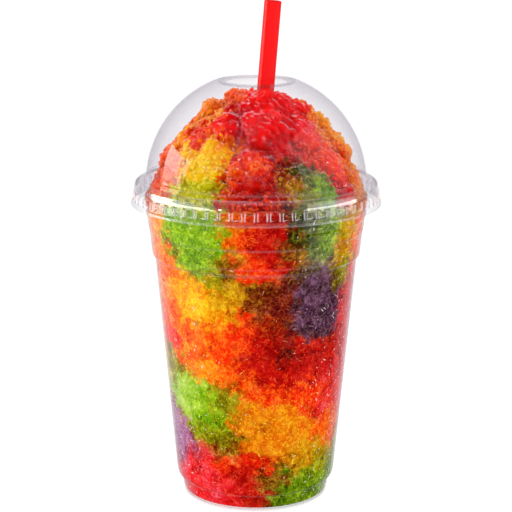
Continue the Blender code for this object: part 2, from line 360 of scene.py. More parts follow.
# %% The clumps, pushed out of the mound
def angles_apart(aims, middle):
    """The angles in degrees between these unit vectors and one more."""
    return np.degrees(np.arccos(np.clip(aims @ np.array(middle), -1, 1)))


def aims_from_dome(spots):
    """Unit vectors from the dome's centre towards these points."""
    away = spots - np.array((0, 0, DOME_CENTRE))
    return away / np.linalg.norm(away, axis=1, keepdims=True)


def above_mouth(spots, margin=0.0):
    """True for the points that are more than the margin above the cup's mouth."""
    return spots[:, 2] > MOUTH + margin


def valley(spots):
    """1 between the clumps and 0 on top of them, for points of the mound."""
    aims = aims_from_dome(spots)
    found = np.ones(len(spots))
    for side, rise, width, _ in clumps:
        apart = angles_apart(aims, direction(side, rise))
        found = np.minimum(found, np.clip(apart / width, 0, 1) ** 3)
    return found * above_mouth(spots, 1.5)


SEAM = 0.2
spots = points_of(mound)
aims = aims_from_dome(spots)
out = np.zeros(len(spots))
for side, rise, width, height in clumps:
    apart = angles_apart(aims, direction(side, rise))
    out = np.maximum(out, height * np.sqrt(np.clip(1 - (apart / width) ** 2, 0, 1)))
move_points(mound, spots + aims * (out * above_mouth(spots, SEAM))[:, None])
print("the clumps stand out by up to %.1f mm" % out.max())

# %% [markdown]
# ## Crushed ice as relief
#
# Crushed ice has lumps of a few grains and then the grains themselves. Both come from Voronoi noise, which
# splits space into cells round scattered points: near a cell's point the surface stands out, and between cells
# it sinks in. Each cell also gets a height of its own from its point, so that no two grains are level. Syrup
# runs down over the crown of the mound and melts it, so there the lumps give way to a smooth swell and the
# grains are worn low. Three smooth noises bend the lumps. Blender's own noise_vector would be shorter, but it
# doesn't repeat from run to run.

# %% Two sizes of grain
LUMP = 5.8
LUMP_DEPTH = 2.5
LUMP_BEND = 2.0
GRAIN = 2.1
GRAIN_DEPTH = 0.9
BULGE = 0.72
WOBBLES = ((9.3, -1.5, -8.0), (0, 0, 0), (6.3, 11.2, 6.3))


def own_number(point):
    """A number from 0 to 1 that belongs to one Voronoi cell, worked out from its point."""
    mixed_up = math.sin(point.x * 127.1 + point.y * 311.7 + point.z * 74.7) * 43758.5453
    return mixed_up - math.floor(mixed_up)


def wobble(place):
    """A smooth random vector."""
    return Vector([noise.noise(place + Vector(aside)) for aside in WOBBLES])


def grain_relief(place, size):
    """How far the grain at this place stands out, from 0 to 1."""
    distances, cells = noise.voronoi(place / size)
    bulge = max(0, 1 - (distances[0] / BULGE) ** 2)
    return 0.6 * bulge + 0.4 * own_number(cells[0])


# %% Where syrup has melted the ice
CROWN = direction(4, 54)
CROWN_SIZE = 32.0
CROWN_BORDER = 7.0
CROWN_WANDER = 9.0
SWELL = 5.0
SMOOTHED = 0.75
WORN = 0.7
RUN_DEPTH = 0.9


def melted(spots):
    """1 on the crown, where syrup has run over the ice, falling to 0 away from it."""
    away = spots - np.array((0, 0, DOME_CENTRE))
    apart = away @ np.array(CROWN) / np.linalg.norm(away, axis=1)
    apart = np.degrees(np.arccos(np.clip(apart, -1, 1)))
    apart += CROWN_WANDER * np.array([noise.noise(Vector(spot) / 9) for spot in spots])
    return np.clip((CROWN_SIZE - apart) / CROWN_BORDER, 0, 1) * above_mouth(spots)


def relief_of(spots):
    """How far each point of the ice stands out, in millimetres, as an array."""
    found = np.empty(len(spots))
    for index, (spot, wet) in enumerate(zip(spots, melted(spots))):
        place = Vector(spot)
        lump = grain_relief(place + LUMP_BEND * wobble(place / 3.5), LUMP)
        lump += (0.5 + 0.6 * noise.noise(place / SWELL) - lump) * SMOOTHED * wet
        grain = grain_relief(place, GRAIN) * (1 - WORN * wet)
        run = noise.noise(Vector((place.x + place.z / 2, place.y, place.z / 3)) / 2.2) * wet
        found[index] = LUMP_DEPTH * (lump - 0.5) + GRAIN_DEPTH * (grain - 0.5) + RUN_DEPTH * run
    return found


# %% [markdown]
# The same relief can't be used everywhere. Where the ice lies against the cup it can only sink in, and grains
# that are laid in front of it later fill what it leaves. At the foot of the mound the ice is pressed out to the
# neck of the lid, and keeps only some of its relief there. The flat faces that lie on each other stay flat.

# %% The relief of the mound
NECK_FIT = 44.0
NECK_FROM = 137.5
NECK_FULL = 132.5
NECK_GIVE = 0.12
NECK_RELIEF = 0.4
spots, normals = points_of(mound), array_of(mound.data.vertices, "normal")
stands = relief_of(spots)
stands = np.where(above_mouth(spots, SEAM), stands, 0)
spots = spots + normals * stands[:, None]
radius = np.hypot(spots[:, 0], spots[:, 1])
near_neck = np.clip((NECK_FROM - spots[:, 2]) / (NECK_FROM - NECK_FULL), 0, 1) * above_mouth(spots)
near_neck *= near_neck * (3 - 2 * near_neck)
pressed_out = np.maximum(radius, NECK_FIT + NECK_GIVE * (radius - NECK_FIT) + NECK_RELIEF * stands)
wider = 1 + near_neck * (pressed_out - radius) / np.maximum(radius, 1)
move_points(mound, spots * np.column_stack([wider, wider, np.ones(len(spots))]))
print("relief of the mound: %.2f to %.2f mm" % (stands.min(), stands.max()))

# %% The relief of the filling
PRESSED = 0.8
FLOOR_EDGE = 27.5
spots, normals = points_of(filling), array_of(filling.data.vertices, "normal")
sunk = np.minimum(0, relief_of(spots) + PRESSED)
inner = np.hypot(spots[:, 0], spots[:, 1])
sunk = np.where((spots[:, 2] < RECESS + 1) & (inner < FLOOR_EDGE), 0, sunk)
sunk = np.where(above_mouth(spots, -1) & (inner < MOUTH_EDGE), 0, sunk)
move_points(filling, spots + normals * sunk[:, None])
print("relief of the filling: %.2f to %.2f mm" % (sunk.min(), sunk.max()))

# %% The channel that the straw stands in
CHANNEL_RADIUS = STRAW_RADIUS + 0.3
for ice in (mound, filling):
    select_nothing()
    bpy.ops.mesh.primitive_cylinder_add(vertices=48, radius=CHANNEL_RADIUS * MM, depth=(length + 4) * MM)
    channel = bpy.context.object
    channel.location = (0, 0, (length / 2 - 1) * MM)
    bpy.ops.object.transform_apply(location=True)
    lay_along_straw(channel)
    applied(ice, "BOOLEAN", operation="DIFFERENCE", solver="MANIFOLD", object=channel)
    bpy.data.objects.remove(channel, do_unlink=True)
    smooth(ice, 60)

# %% [markdown]
# ## The colours of the syrup
#
# The ice was spooned in with a different syrup each time, so its colours are scoops with soft borders. A scoop
# is an ellipse on the surface, with a place, a width and a height. Syrups mix as dyes do: each takes its share
# out of the light, so the logarithms of their colours are averaged, and red running into green turns brown
# instead of grey. A grain with little syrup is paler, which is the same sum with a smaller amount. Every grain
# is coloured as if it came from a slightly different place, which frays the borders grain by grain.

# %% The syrups, and where each was spooned
def linear(*shown):
    """A colour as a screen shows it, 0 to 255, turned into the amounts of light that a shader wants."""
    parts = [value / 255 for value in shown]
    return [part / 12.92 if part <= 0.04 else ((part + 0.055) / 1.055) ** 2.4 for part in parts]


SYRUPS = {
    "cherry": (244, 10, 12), "scarlet": (246, 52, 4), "ruby": (190, 6, 4),
    "crimson": (216, 22, 34), "strawberry": (236, 36, 48), "maroon": (110, 14, 12),
    "rust": (160, 34, 6), "orange": (248, 88, 6), "tangerine": (251, 136, 14),
    "amber": (234, 126, 5), "ochre": (206, 138, 6), "lemon": (252, 190, 8),
    "citrus": (212, 206, 14), "lime": (126, 168, 12), "leaf": (98, 132, 10),
    "moss": (80, 82, 20), "pine": (60, 68, 14), "olive": (136, 124, 5),
    "umber": (128, 66, 6), "grape": (84, 44, 68), "lilac": (166, 102, 144),
    "mint": (164, 200, 62), "honey": (243, 158, 3), "apricot": (255, 156, 34),
}
# A scoop is (degrees round from the front, height or degrees up, half width, half height).
WALL_SCOOPS = {
    "tangerine": [(-73, 115, 9, 9), (-58, 95, 8, 8), (-33, 63, 8, 5)],
    "lime": [(-34, 118, 12, 10), (-30, 107, 9, 6), (-34, 43, 9, 9)],
    "olive": [
        (-22, 104, 7, 6), (58, 103, 6, 6), (-62, 60, 5, 5), (-19, 49, 5, 6), (-30, 33, 8, 4),
        (50, 18, 7, 5),
    ],
    "amber": [(-14, 119, 3, 8), (6, 43, 14, 8), (17, 34, 14, 8)],
    "orange": [
        (-7, 121, 5, 8), (76, 112, 7, 12), (-62, 104, 8, 7), (-22, 80, 8, 4), (-64, 83, 7, 7),
        (-40, 69, 12, 8), (-14, 60, 7, 5), (58, 36, 9, 8),
    ],
    "ruby": [
        (5, 119, 8, 9), (11, 112, 6, 8), (6, 71, 9, 9), (38, 66, 9, 7), (12, 61, 7, 5),
        (-9, 18, 6, 6), (-3, 9, 7, 5),
    ],
    "scarlet": [
        (2, 106, 8, 5), (-10, 80, 8, 6), (-14, 71, 8, 9), (9, 54, 10, 4), (40, 51, 9, 5),
        (-20, 22, 6, 4), (4, 22, 6, 4),
    ],
    "umber": [(20, 112, 4, 10), (-15, 105, 4, 6), (3, 94, 7, 5), (-24, 27, 6, 3), (13, 14, 6, 7)],
    "pine": [(28, 119, 8, 12)],
    "leaf": [(39, 119, 6, 9), (36, 13, 7, 5), (22, 8, 6, 5), (58, 8, 9, 7)],
    "ochre": [(55, 114, 7, 9), (-15, 93, 8, 6), (36, 26, 10, 6)],
    "grape": [(36, 92, 14, 14)],
    "maroon": [(16, 91, 5, 9), (17, 70, 4, 7), (6, 92, 6, 4)],
    "crimson": [(74, 88, 8, 20), (58, 58, 7, 6)],
    "honey": [(-38, 93, 13, 9), (-28, 85, 8, 5)],
    "rust": [(8, 83, 7, 5)],
    "strawberry": [(-60, 73, 5, 4), (84, 55, 9, 16), (50, 46, 7, 5), (-40, 20, 11, 8), (-30, 8, 13, 7)],
    "mint": [(-50, 51, 9, 8)],
    "lilac": [(-68, 29, 9, 9), (-53, 24, 7, 4)],
    "citrus": [(48, 16, 6, 4)],
}
MOUND_SCOOPS = {
    "cherry": [(7, 62, 18, 10), (44, 60, 11, 7), (8, 40, 9, 6), (-20, 50, 9, 5), (57, 5, 4, 4)],
    "orange": [
        (-58, 78, 5, 4), (-90, 13, 5, 9), (-66, 6, 6, 6), (-16, 11, 3, 6), (72, 18, 8, 7),
        (-105, -3, 20, 6),
    ],
    "apricot": [(-66, 57, 7, 7), (-81, 30, 5, 6), (92, 30, 14, 12), (95, 44, 10, 6)],
    "scarlet": [(-58, 44, 6, 5), (-4, 26, 7, 6), (-3, 17, 7, 5), (-2, 0, 8, 4), (50, 24, 8, 8)],
    "strawberry": [(-50, 36, 6, 3), (46, 44, 6, 5)],
    "lemon": [(-39, 26, 11, 11), (-27, 19, 6, 7)],
    "tangerine": [(-21, 35, 4, 5), (86, 7, 12, 9)],
    "citrus": [(-35, 9, 9, 5), (-34, 1, 8, 5)],
    "ruby": [(0, 8, 7, 5)],
    "crimson": [(20, 33, 7, 5)],
    "rust": [(21, 20, 4, 5)],
    "ochre": [(21, 9, 5, 7)],
    "leaf": [(40, 9, 6, 5)],
    "lime": [(38, 2, 6, 4)],
    "olive": [(28, 0, 5, 4)],
    "moss": [(30, 15, 4, 4)],
}
BACK_SYRUPS = "lime orange lemon grape cherry tangerine strawberry amber".split()
BACK_MOUND_SYRUPS = "orange lemon scarlet cherry tangerine lime strawberry".split()


def scoop_on_wall(name, side, height, wide, tall):
    """A scoop against the cup: its syrup, middle, the way its width and its height run, and both sizes."""
    round_wall = direction(side, 0)
    middle = round_wall * (33 + 9 * height / 100) + Vector((0, 0, height))
    return name, middle, direction(side + 90, 0), Vector((0, 0, 1)), wide, tall


def scoop_on_mound(name, side, rise, wide, tall):
    """A scoop on the mound, in the same form."""
    up = direction(side, rise)
    middle = up * (MOUND_RADIUS + 3) + Vector((0, 0, DOME_CENTRE))
    return name, middle, direction(side + 90, 0), direction(side, rise + 90), wide, tall


scoops = [scoop_on_wall(name, *place) for name, places in WALL_SCOOPS.items() for place in places]
scoops += [scoop_on_mound(name, *place) for name, places in MOUND_SCOOPS.items() for place in places]
for row, height in enumerate((12, 34, 56, 78, 100, 121)):
    for step in range(5):
        name = BACK_SYRUPS[(row * 3 + step * 5) % len(BACK_SYRUPS)]
        side = 113 + 33 * step + draw.uniform(-9, 9)
        rise = height + draw.uniform(-7, 7)
        scoops.append(scoop_on_wall(name, side, rise, draw.uniform(11, 16), draw.uniform(9, 14)))
for row, rise in enumerate((8, 32, 58)):
    for step in range(4):
        name = BACK_MOUND_SYRUPS[(row * 4 + step) % len(BACK_MOUND_SYRUPS)]
        side = 125 + 38 * step + draw.uniform(-9, 9)
        scoops.append(scoop_on_mound(name, side, rise, draw.uniform(8, 12), draw.uniform(7, 10)))
print(len(scoops), "scoops of", len(SYRUPS), "syrups")

# %% Working out a colour at any place
BORDER = 1.6
SPREAD = 3.0
FRAY = 1.5
CLUMP = 3.6
CLUMP_FRAY = 2.4
DEPTH = 18.0
middles = np.array([scoop[1] for scoop in scoops])
widths = np.array([scoop[2] / scoop[4] for scoop in scoops])
heights = np.array([scoop[3] / scoop[5] for scoop in scoops])
dyes = np.log(np.array([linear(*SYRUPS[scoop[0]]) for scoop in scoops]))


def syrup_colours(places, strengths):
    """The colour of the ice at each place, in millimetres, with so much syrup in it."""
    wavy = np.array([wobble(Vector(place) / 8) for place in places])
    wavy += 0.5 * np.array([wobble(Vector(place) / 3) for place in places])
    places = places + SPREAD * wavy
    shares = np.empty((len(places), len(scoops)))
    for number in range(len(scoops)):
        off = places - middles[number]
        shares[:, number] = (off @ widths[number]) ** 2 + (off @ heights[number]) ** 2
        shares[:, number] += np.sum(off * off, 1) / DEPTH**2
    shares = np.exp(-BORDER * (shares - shares.min(1, keepdims=True)))
    shares /= shares.sum(1, keepdims=True)
    return np.exp((shares @ dyes) * strengths[:, None])


def paint(obj, colours):
    """Stores a colour for each vertex, which the ice's material reads."""
    layer = obj.data.color_attributes.new("flavour", "FLOAT_COLOR", "POINT")
    rgba = np.ones((len(colours), 4), np.float32)
    rgba[:, :3] = colours
    layer.data.foreach_set("color", rgba.ravel())


# %% Painting the mound and the filling grain by grain
def shift(place, size, far):
    """(the middle of this point's cell, how far that cell looks aside, the cell's own number)."""
    _, cells = noise.voronoi(place / size)
    mine = own_number(cells[0])
    turn, tilt = mine * 40, own_number(cells[0] * 1.7) * 2 - 1
    return cells[0] * size, Vector((math.cos(turn), math.sin(turn), tilt)) * far, mine


def frayed(place):
    """(where this point's grain takes its colour from, the grain's own number)."""
    middle, aside, mine = shift(place, GRAIN, FRAY)
    _, clump_aside, clump = shift(place, CLUMP, CLUMP_FRAY)
    return middle.lerp(place, 0.4) + aside + clump_aside, (mine + clump) / 2


# More syrup gives deeper colour. The random amounts in grains and clouds are the ice's own tone. The syrup
# added in valleys and crevices is painted shade, and the syrup taken off what stands out is painted light.
SYRUP = 1.02
IN_GRAINS = 0.4
IN_CLOUDS = 0.3
SHADE_IN_VALLEYS = 0.6
SHADE_BY_RELIEF = 0.16
LIGHT_AT_FOOT = 0.45
SHADE = 0.38
for ice in (mound, filling):
    spots = points_of(ice)
    grains = [frayed(Vector(spot)) for spot in spots]
    depth = relief_of(spots)
    clouds = np.array([noise.noise(Vector(spot) / 6) for spot in spots])
    strengths = SYRUP + IN_GRAINS * (np.array([grain[1] for grain in grains]) - 0.5) - SHADE_BY_RELIEF * depth
    strengths += IN_CLOUDS * clouds + SHADE_IN_VALLEYS * valley(spots)
    # Painted light: the mound's foot lies in shade between the lid's neck and the cup's mouth, so it gets less
    # syrup and paler colour.
    strengths -= LIGHT_AT_FOOT * np.clip((MOUTH + 4 - spots[:, 2]) / 3, 0, 1) * (ice == mound)
    strengths = np.clip(strengths, 0.5, 1.65)
    colours = syrup_colours(np.array([grain[0] for grain in grains]), strengths)
    # Painted shade: the colour goes darker in the crevices of the relief and in the valleys between clumps,
    # much for red syrup and hardly at all for yellow.
    darker = SHADE * (1 - np.clip(2 * colours[:, 1] / colours[:, 0], 0, 0.7))
    shaded = (1 - darker * np.clip(-depth / 1.5, 0, 1)) * (1 - darker * valley(spots))
    paint(ice, colours * shaded[:, None])
    print("painted", ice.name, "with %.2f to %.2f of syrup" % (strengths.min(), strengths.max()))

# %% [markdown]
# ## Loose grains
#
# Relief alone looks like a moulded surface, because nothing in it overhangs. Real grains lie on it and are
# pressed against the plastic. One grain is an icosphere of 20 faces. Thousands of copies of it, each squashed,
# turned and placed in its own way, are written into one mesh, which is much lighter than thousands of objects.
# Round grains are shaded smooth, because the melting rounds them, and thin slivers stay flat and sharp. Their
# places are drawn by the numbers of the faces, and a spin numbers those anew in each run, so no two runs
# scatter the grains alike.

# %% A pile of grains in one mesh
select_nothing()
bpy.ops.mesh.primitive_ico_sphere_add(subdivisions=1, radius=1)
ball = bpy.context.object
GRAIN_POINTS = np.array([point.co for point in ball.data.vertices])
GRAIN_FACES = np.array([face.vertices for face in ball.data.polygons])
bpy.data.objects.remove(ball, do_unlink=True)


def scattered(name, middles, sizes, stretch, seed, sliver=1.0, within=None):
    """One mesh of grains at these places, in millimetres, each turned and stretched at random.

    A sliver under 1 makes them thin, and within(points) pulls points that stand too far out back in.
    """
    drawn = np.random.default_rng(seed)
    count = len(middles)
    turns = drawn.normal(size=(count, 4))
    turns /= np.linalg.norm(turns, axis=1, keepdims=True)
    w, x, y, z = turns.T
    row_x = [1 - 2 * (y * y + z * z), 2 * (x * y - z * w), 2 * (x * z + y * w)]
    row_y = [2 * (x * y + z * w), 1 - 2 * (x * x + z * z), 2 * (y * z - x * w)]
    row_z = [2 * (x * z - y * w), 2 * (y * z + x * w), 1 - 2 * (x * x + y * y)]
    matrix = np.array([row_x, row_y, row_z]).transpose(2, 0, 1)
    scale = sizes[:, None] * drawn.uniform(1 - stretch, 1 + stretch, (count, 3))
    scale = scale * np.array((1, sliver, sliver))
    dents = drawn.uniform(0.75, 1.15, (count, len(GRAIN_POINTS), 1))
    shapes = GRAIN_POINTS[None] * dents * scale[:, None]
    points = np.einsum("nij,nkj->nki", matrix, shapes) + middles[:, None]
    if within:
        points = within(points.reshape(-1, 3)).reshape(points.shape)
    faces = GRAIN_FACES[None] + (np.arange(count) * len(GRAIN_POINTS))[:, None, None]
    data = bpy.data.meshes.new(name)
    data.from_pydata((points.reshape(-1, 3) * MM).tolist(), [], faces.reshape(-1, 3).tolist())
    obj = bpy.data.objects.new(name, data)
    bpy.context.scene.collection.objects.link(obj)
    if sliver == 1:
        only(obj)
        bpy.ops.object.shade_smooth()
    print(name, count, "grains,", len(data.polygons), "triangles")
    return obj


def surface_samples(obj, count, wanted, seed):
    """Random places on the faces that wanted() weighs, with their normals, evenly by area."""
    drawn = np.random.default_rng(seed)
    faces = obj.data.polygons
    centres = array_of(faces, "center") / MM
    areas = array_of(faces, "area", 1)[:, 0] * wanted(centres)
    picked = drawn.choice(len(areas), size=count, p=areas / areas.sum())
    return centres[picked], array_of(faces, "normal")[picked]


# %% Grains on the mound
def clear_of_straw(places):
    """True where a place is outside the straw and its clearance."""
    along = np.array((STRAW_TIP - STRAW_FOOT).normalized())
    off = places - np.array(STRAW_FOOT)
    off = off - (off @ along)[:, None] * along
    return np.linalg.norm(off, axis=1) > STRAW_RADIUS + 1.2


def where_loose(places):
    """Loose grains lie all over the mound, but few of them on the melted crown."""
    return above_mouth(places, 0.6) * (1 - 0.9 * melted(places))


LOOSE_GRAINS = 4200
sizes_drawn = np.random.default_rng(7)
tops, top_normals = surface_samples(mound, LOOSE_GRAINS, where_loose, 5)
keep = clear_of_straw(tops)
tops, top_normals = tops[keep], top_normals[keep]
top_sizes = sizes_drawn.uniform(0.4, 1.0, len(tops))
tops = tops - top_normals * (top_sizes * 0.1)[:, None]
piles = [(scattered("loose_grains", tops, top_sizes, 0.45, 11), tops)]

# %% Slivers against the wall, in an upper and a lower band
SLIVERS_IN_BAND = 9200
BAND_EDGE = 62.0
WALL_INSIDE = 29.0
wall_line = np.array(rounded(WALL))


def inside_wall(points):
    """Presses points that stand too far out flat against the cup's sheet."""
    limit = np.interp(points[:, 2], wall_line[:, 1], wall_line[:, 0]) - REACH + 0.05
    radius = np.hypot(points[:, 0], points[:, 1])
    shrink = np.minimum(1, limit / radius)
    return np.column_stack([points[:, :2] * shrink[:, None], np.maximum(points[:, 2], CLEAR_FOOT)])


def in_band(low, high):
    """A test for places at the wall between these heights."""
    return lambda at: (at[:, 2] > low) & (at[:, 2] < high) & (np.hypot(at[:, 0], at[:, 1]) > WALL_INSIDE)


for name, low, high, seed in (("upper_slivers", BAND_EDGE, MOUTH, 31), ("lower_slivers", 2.0, BAND_EDGE, 32)):
    sides, _ = surface_samples(filling, SLIVERS_IN_BAND, in_band(low, high), seed)
    side_sizes = sizes_drawn.uniform(0.6, 1.3, len(sides))
    flat = sides[:, :2] / np.linalg.norm(sides[:, :2], axis=1, keepdims=True)
    wall_radius = np.interp(sides[:, 2], wall_line[:, 1], wall_line[:, 0]) - REACH
    inward = sizes_drawn.uniform(0.0, 0.25, len(sides))
    sides = np.column_stack([flat * (wall_radius - inward)[:, None], sides[:, 2]])
    piles.append((scattered(name, sides, side_sizes, 0.3, seed + 10, 0.22, inside_wall), sides))

# %% Their colours, with white frost and painted glints, more of them towards the sides
FROST_AND_GLINT = linear(255, 240, 232)
BRIGHT_SLIVERS = 0.25
FEW_WHITE = 0.012
GLINTS_AT_SIDES = 0.25
for number, (pile, places) in enumerate(piles):
    drawn = np.random.default_rng(50 + number)
    amount = 0.98 + drawn.normal(0, 0.12, len(places))
    bright = drawn.random(len(places)) < BRIGHT_SLIVERS * (number > 0)
    amount = np.where(bright, drawn.uniform(0.35, 0.65, len(places)), amount)
    colours = syrup_colours(places + drawn.uniform(-FRAY, FRAY, (len(places), 3)), amount)
    colours[bright & (colours[:, 2] < 0.1)] *= np.array((1.1, 1.2, 0.4))
    # Painted glints: a few slivers everywhere are white, as frost and as painted glints. Many more are white
    # towards the sides, where the side softboxes would make the ice sparkle.
    aside = np.abs(places[:, 0]) / np.hypot(places[:, 0], places[:, 1])
    white = drawn.random(len(places)) < (FEW_WHITE + GLINTS_AT_SIDES * aside**3) * (number > 0)
    colours[white] = 0.3 * colours[white] + 0.7 * np.array(FROST_AND_GLINT)
    paint(pile, np.repeat(np.minimum(colours, 1), len(GRAIN_POINTS), axis=0))

# %% [markdown]
# ## Materials
#
# Every material is a tree of small shader nodes, and most of its lines would only make a node and join it to
# the next one. A helper that takes the node's settings and its inputs in one call keeps each step on one line.

# %% Helpers for node materials
def new_material(name):
    """An empty material, as (material, its node tree)."""
    material = bpy.data.materials.new(name)
    material.use_nodes = True
    material.node_tree.nodes.clear()
    return material, material.node_tree


def add(tree, kind, inputs, **settings):
    """Adds a shader node. Each input is a plain value or the output socket that feeds it."""
    node = tree.nodes.new("ShaderNode" + kind)
    for key, value in settings.items():
        setattr(node, key, value)
    for key, value in inputs.items():
        if isinstance(value, bpy.types.NodeSocket):
            tree.links.new(value, node.inputs[key])
        else:
            node.inputs[key].default_value = value
    return node


def calc(tree, operation, first, second):
    """A Math node's output. The two numbers are plain or sockets."""
    return add(tree, "Math", {0: first, 1: second}, operation=operation).outputs[0]


def product(tree, first, *others):
    """All of these multiplied."""
    for other in others:
        first = calc(tree, "MULTIPLY", first, other)
    return first


def blended(tree, share, first, second, kind="MIX"):
    """Two colours mixed by a Mix node."""
    inputs = {"Factor": share, "A": first, "B": second}
    return add(tree, "Mix", inputs, data_type="RGBA", blend_type=kind).outputs["Result"]


def ranged(tree, value, low, high, at_low, at_high):
    """A value that goes from at_low to at_high while the first one goes from low to high."""
    inputs = {"Value": value, "From Min": low, "From Max": high, "To Min": at_low, "To Max": at_high}
    return add(tree, "MapRange", inputs).outputs["Result"]


def ramp(tree, value, stops):
    """A colour that follows (position, colour) stops."""
    node = add(tree, "ValToRGB", {0: value})
    elements = node.color_ramp.elements
    while len(elements) < len(stops):
        elements.new(0.5)
    for element, (position, colour) in zip(elements, stops):
        element.position = position
        element.color = (*colour, 1)
    return node.outputs["Color"]


def mixed(tree, share, first, second):
    """Two shaders mixed."""
    return add(tree, "MixShader", {0: share, 1: first, 2: second}).outputs[0]


def summed(tree, first, second):
    """Two shaders added up."""
    return add(tree, "AddShader", {0: first, 1: second}).outputs[0]


def dress(obj, material):
    """Gives a piece this one material."""
    obj.data.materials.clear()
    obj.data.materials.append(material)
    print(obj.name, "wears", material.name)


# %% [markdown]
# ## Clear plastic
#
# Thin clear plastic barely bends the light, so what is behind it shows through unmoved, and we see little of it
# but its reflections. A Glass shader would bend the ice's colours at every little step and is slow behind two
# walls, so this one mixes a Transparent and a Glossy shader by how squarely the surface is looked at. Only the
# face that light enters by reflects, for both, because light caught between the two would come out black.
# Where the sheet is folded sharply it is thicker and a little milky, which draws the pale lines round the cup.
# The lid's skirt and bead are satin, which shows on faces seen askew, and their edges let less light through.
# All this changes with the height, so each is a list of stops up the piece.

# %% Clear plastic
TALLEST = 200.0
MIRROR_POWER = 4.5
MIRROR_AT_EDGE = 0.9
MIRROR_HEAD_ON = 0.075
MOST_SHINY = 2.5
MILK = (1.0, 0.95, 0.96, 1)
FLANK_MILK = 0.6
MILK_FADES = 0.8
SATIN_ROUGHNESS = 0.45
SATIN_ASKEW = 9.5
NONE = ((0, 0.0), (1, 0.0))
ALL = ((0, 1.0), (1, 1.0))


def over_height(tree, stops):
    """A value that follows (height in millimetres, value) stops up the piece."""
    place = add(tree, "TexCoord", {}).outputs["Object"]
    height = add(tree, "SeparateXYZ", {0: place}).outputs["Z"]
    stops = [(height / TALLEST, (value, value, value)) for height, value in stops]
    return ramp(tree, calc(tree, "DIVIDE", height, TALLEST * MM), stops)


def clear_plastic(name, tints, roughness, milky, shiny, satin=NONE, edge_tint=ALL):
    """Clear sheet. The tints are how much light one face lets through head on and at the edge."""
    material, tree = new_material(name)
    facing = add(tree, "LayerWeight", {"Blend": 0.5}).outputs["Facing"]
    entering = calc(tree, "SUBTRACT", 1.0, add(tree, "NewGeometry", {}).outputs["Backfacing"])

    mirror = product(tree, calc(tree, "POWER", facing, MIRROR_POWER), MIRROR_AT_EDGE)
    mirror = calc(tree, "ADD", mirror, MIRROR_HEAD_ON)
    mirror = product(tree, mirror, entering, over_height(tree, shiny), MOST_SHINY)
    at_edge = blended(tree, 1, (*tints[1], 1), over_height(tree, edge_tint), "MULTIPLY")
    tint = blended(tree, calc(tree, "POWER", facing, 2.0), (*tints[0], 1), at_edge)
    through = add(tree, "BsdfTransparent", {"Color": tint}).outputs[0]
    shine = add(tree, "BsdfAnisotropic", {"Roughness": roughness}).outputs[0]
    sheet = mixed(tree, mirror, through, shine)

    flank = add(tree, "Attribute", {}, attribute_name="flank").outputs["Fac"]
    milk = calc(tree, "MAXIMUM", over_height(tree, milky), product(tree, flank, FLANK_MILK))
    milk = product(tree, milk, calc(tree, "SUBTRACT", 1.0, product(tree, facing, MILK_FADES)), entering)
    lit_in_front = add(tree, "BsdfDiffuse", {"Color": MILK}).outputs[0]
    lit_from_behind = add(tree, "BsdfTranslucent", {"Color": MILK}).outputs[0]
    sheet = mixed(tree, milk, sheet, mixed(tree, 0.5, lit_in_front, lit_from_behind))

    askew = calc(tree, "POWER", calc(tree, "SUBTRACT", 1.0, facing), 3.0)
    askew = product(tree, askew, facing, SATIN_ASKEW)
    sheen = product(tree, over_height(tree, satin), askew, entering)
    brushed = add(tree, "BsdfAnisotropic", {"Roughness": SATIN_ROUGHNESS, "Color": sheen}).outputs[0]
    add(tree, "OutputMaterial", {"Surface": summed(tree, sheet, brushed)})
    return material


# %% The two plastics
def folds(*peaks):
    """The stops for thin peaks of milkiness, each a (height, half width, amount)."""
    stops = [(0, 0)]
    for height, half, amount in sorted(peaks):
        stops += [(height - half, 0), (height, amount), (height + half, 0)]
    return stops


CUP_FOLDS = folds(
    (0.5, 0.6, 0.5), (7.3, 0.4, 0.4), (103.5, 0.6, 0.35), (106.4, 0.3, 0.15), (114.3, 0.35, 0.4),
    (119.9, 0.3, 0.35),
)
LID_FOLDS = folds(
    (125.35, 0.5, 0.9), (130.8, 0.25, 0.55), (134.6, 0.3, 0.25), (136.9, 0.4, 0.2), (175.5, 0.5, 0.05)
)
SKIRT_SATIN = (
    (0, 0.0), (124.9, 0.0), (125.2, 0.14), (127.0, 0.14), (127.6, 0.03), (131.2, 0.03), (131.8, 0.22),
    (134.2, 0.22), (134.7, 0.0),
)
CUP_SHINE = ((0, 0.4), (126.5, 0.4), (128.0, 0.0))
LID_SHINE = ((0, 0.4), (131.1, 0.4), (131.5, 1.0), (134.0, 1.0), (134.4, 0.1), (134.9, 0.1), (135.2, 0.4))
CUP_TINTS = ((0.995, 0.992, 0.995), (0.93, 0.915, 0.935))
LID_TINTS = ((0.985, 0.981, 0.988), (0.88, 0.862, 0.886))
SKIRT_EDGE = ((0, 0.84), (131.0, 0.84), (132.0, 0.93), (134.6, 0.93), (136.5, 1.0))
dress(cup, clear_plastic("clear_cup", CUP_TINTS, 0.05, CUP_FOLDS, CUP_SHINE))
dress(lid, clear_plastic("clear_lid", LID_TINTS, 0.04, LID_FOLDS, LID_SHINE, SKIRT_SATIN, SKIRT_EDGE))

# %% [markdown]
# ## Ice soaked in syrup
#
# The painted colour says which syrup is where. Two finer things come from the shader. Crushed ice is a mass of
# clear cells: their rims scatter light and look pale, and their insides are deep in colour. A Voronoi texture
# gives both, once as the distance to the cells' edges and once as a number for each cell. As more syrup means
# the same colour to a higher power, a Gamma node makes a cell deeper or paler without changing its hue. Only
# syrups with hardly any blue in them get warmer towards their rims.

# %% Coloured ice
CELL = 1.5
BEND = 1.4
BEND_SIZE = 1.7
CLOUD_SIZE = 5.0
WARM = (1.25, 1.35, 0.3, 1)
PALER = 0.55
WATER = 1.33
GLOW_DEPTH = 1.0


